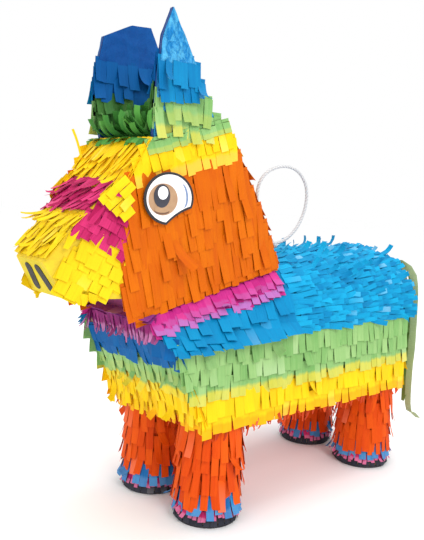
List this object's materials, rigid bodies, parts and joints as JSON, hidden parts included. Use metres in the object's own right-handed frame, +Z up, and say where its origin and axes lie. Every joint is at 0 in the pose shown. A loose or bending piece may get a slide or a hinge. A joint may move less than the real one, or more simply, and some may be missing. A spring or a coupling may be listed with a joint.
{
  "type": "donkey pinata",
  "caption": "Hollow card donkey covered in rows of cut tissue paper, with a filling flap, a paper tail and a cord loop to hang it by.",
  "frame": {"origin": "on the floor under the middle of the donkey's box, measured without the cord loop", "axes": "+X from nose to tail, +Y to the donkey's right side, +Z up"},
  "size_m": [0.598, 0.1968, 0.55],
  "materials": {
    "card": "plain brown grey-board, matt",
    "sole_card": "dark matt paper on card",
    "ear_card": "dark blue paper on card",
    "nose_paper": "smooth matt yellow paper",
    "nostril_paper": "dark grey matt paper",
    "wood": "plain dowel",
    "cord": "white stiff cord, satin",
    "sage_crepe": "crepe paper with fine crinkles",
    "eye_sticker": "smooth printed card sticker",
    "orange_tissue": "thin tissue paper, cut into tabs",
    "yellow_tissue": "thin tissue paper, cut into tabs",
    "green_tissue": "thin tissue paper, cut into tabs",
    "pink_tissue": "thin tissue paper, cut into tabs",
    "blue_tissue": "thin tissue paper, cut into tabs"
  },
  "bodies": {
    "shell": {"left_flank": "card", "right_flank": "card", "back_sheet": "card", "belly_panel": "card", "chest_panel": "card", "rump_panel": "card", "left_shoulder": "card", "right_shoulder": "card", "left_head_panel": "card", "right_head_panel": "card", "left_muzzle_panel": "card", "right_muzzle_panel": "card", "face_strip": "card", "nose_plate": "nose_paper", "jaw_strip": "card", "nape_strip": "card", "crown_strip": "card", "left_ear": "ear_card", "right_ear": "ear_card", "left_fore_leg": "card", "right_fore_leg": "card", "left_hind_leg": "card", "right_hind_leg": "card", "left_fore_sole": "sole_card", "right_fore_sole": "sole_card", "left_hind_sole": "sole_card", "right_hind_sole": "sole_card", "flap_stop_tabs": "card", "anchor_stick": "wood", "anchor_tie": "cord", "tail_patch": "card", "left_eye": "eye_sticker", "right_eye": "eye_sticker", "nostrils": "nostril_paper", "belly_paper": "orange_tissue", "left_ear_fringe": "blue_tissue", "right_ear_fringe": "blue_tissue", "crown_fringe": "green_tissue", "head_yellow_fringe": "yellow_tissue", "head_orange_fringe": "orange_tissue", "muzzle_pink_fringe": "pink_tissue", "muzzle_yellow_fringe": "yellow_tissue", "neck_pink_fringe": "pink_tissue", "shoulder_blue_fringe": "blue_tissue", "back_blue_fringe": "blue_tissue", "body_green_fringe": "green_tissue", "body_yellow_fringe": "yellow_tissue", "left_fore_fringe": "orange_tissue", "right_fore_fringe": "orange_tissue", "left_hind_fringe": "orange_tissue", "right_hind_fringe": "orange_tissue", "hoof_blue_fringe": "blue_tissue", "hoof_pink_fringe": "pink_tissue"},
    "fill_flap": {"fill_flap": "card", "flap_fringe": "green_tissue"},
    "tail": {"tail_band": "sage_crepe", "tail_streamers": "sage_crepe"},
    "hanging_loop": {"hanging_loop": "cord", "loop_knot": "cord"}
  },
  "joints": [
    {"name": "flap_crease", "type": "hinge", "parent": "shell", "child": "fill_flap", "pos_m": [0.074, 0.086, 0.202], "axis": [1, 0, 0], "range_deg": [0, 90]},
    {"name": "tail_fold", "type": "hinge", "parent": "shell", "child": "tail", "pos_m": [0.235, 0, 0.292], "axis": [0, -1, 0], "range_deg": [0, 70]},
    {"name": "loop_bend", "type": "hinge", "parent": "shell", "child": "hanging_loop", "pos_m": [0.044, 0, 0.305], "axis": [0, 1, 0], "range_deg": [-20, 15], "stiffness_Nm_per_rad": 0.02}
  ]
}
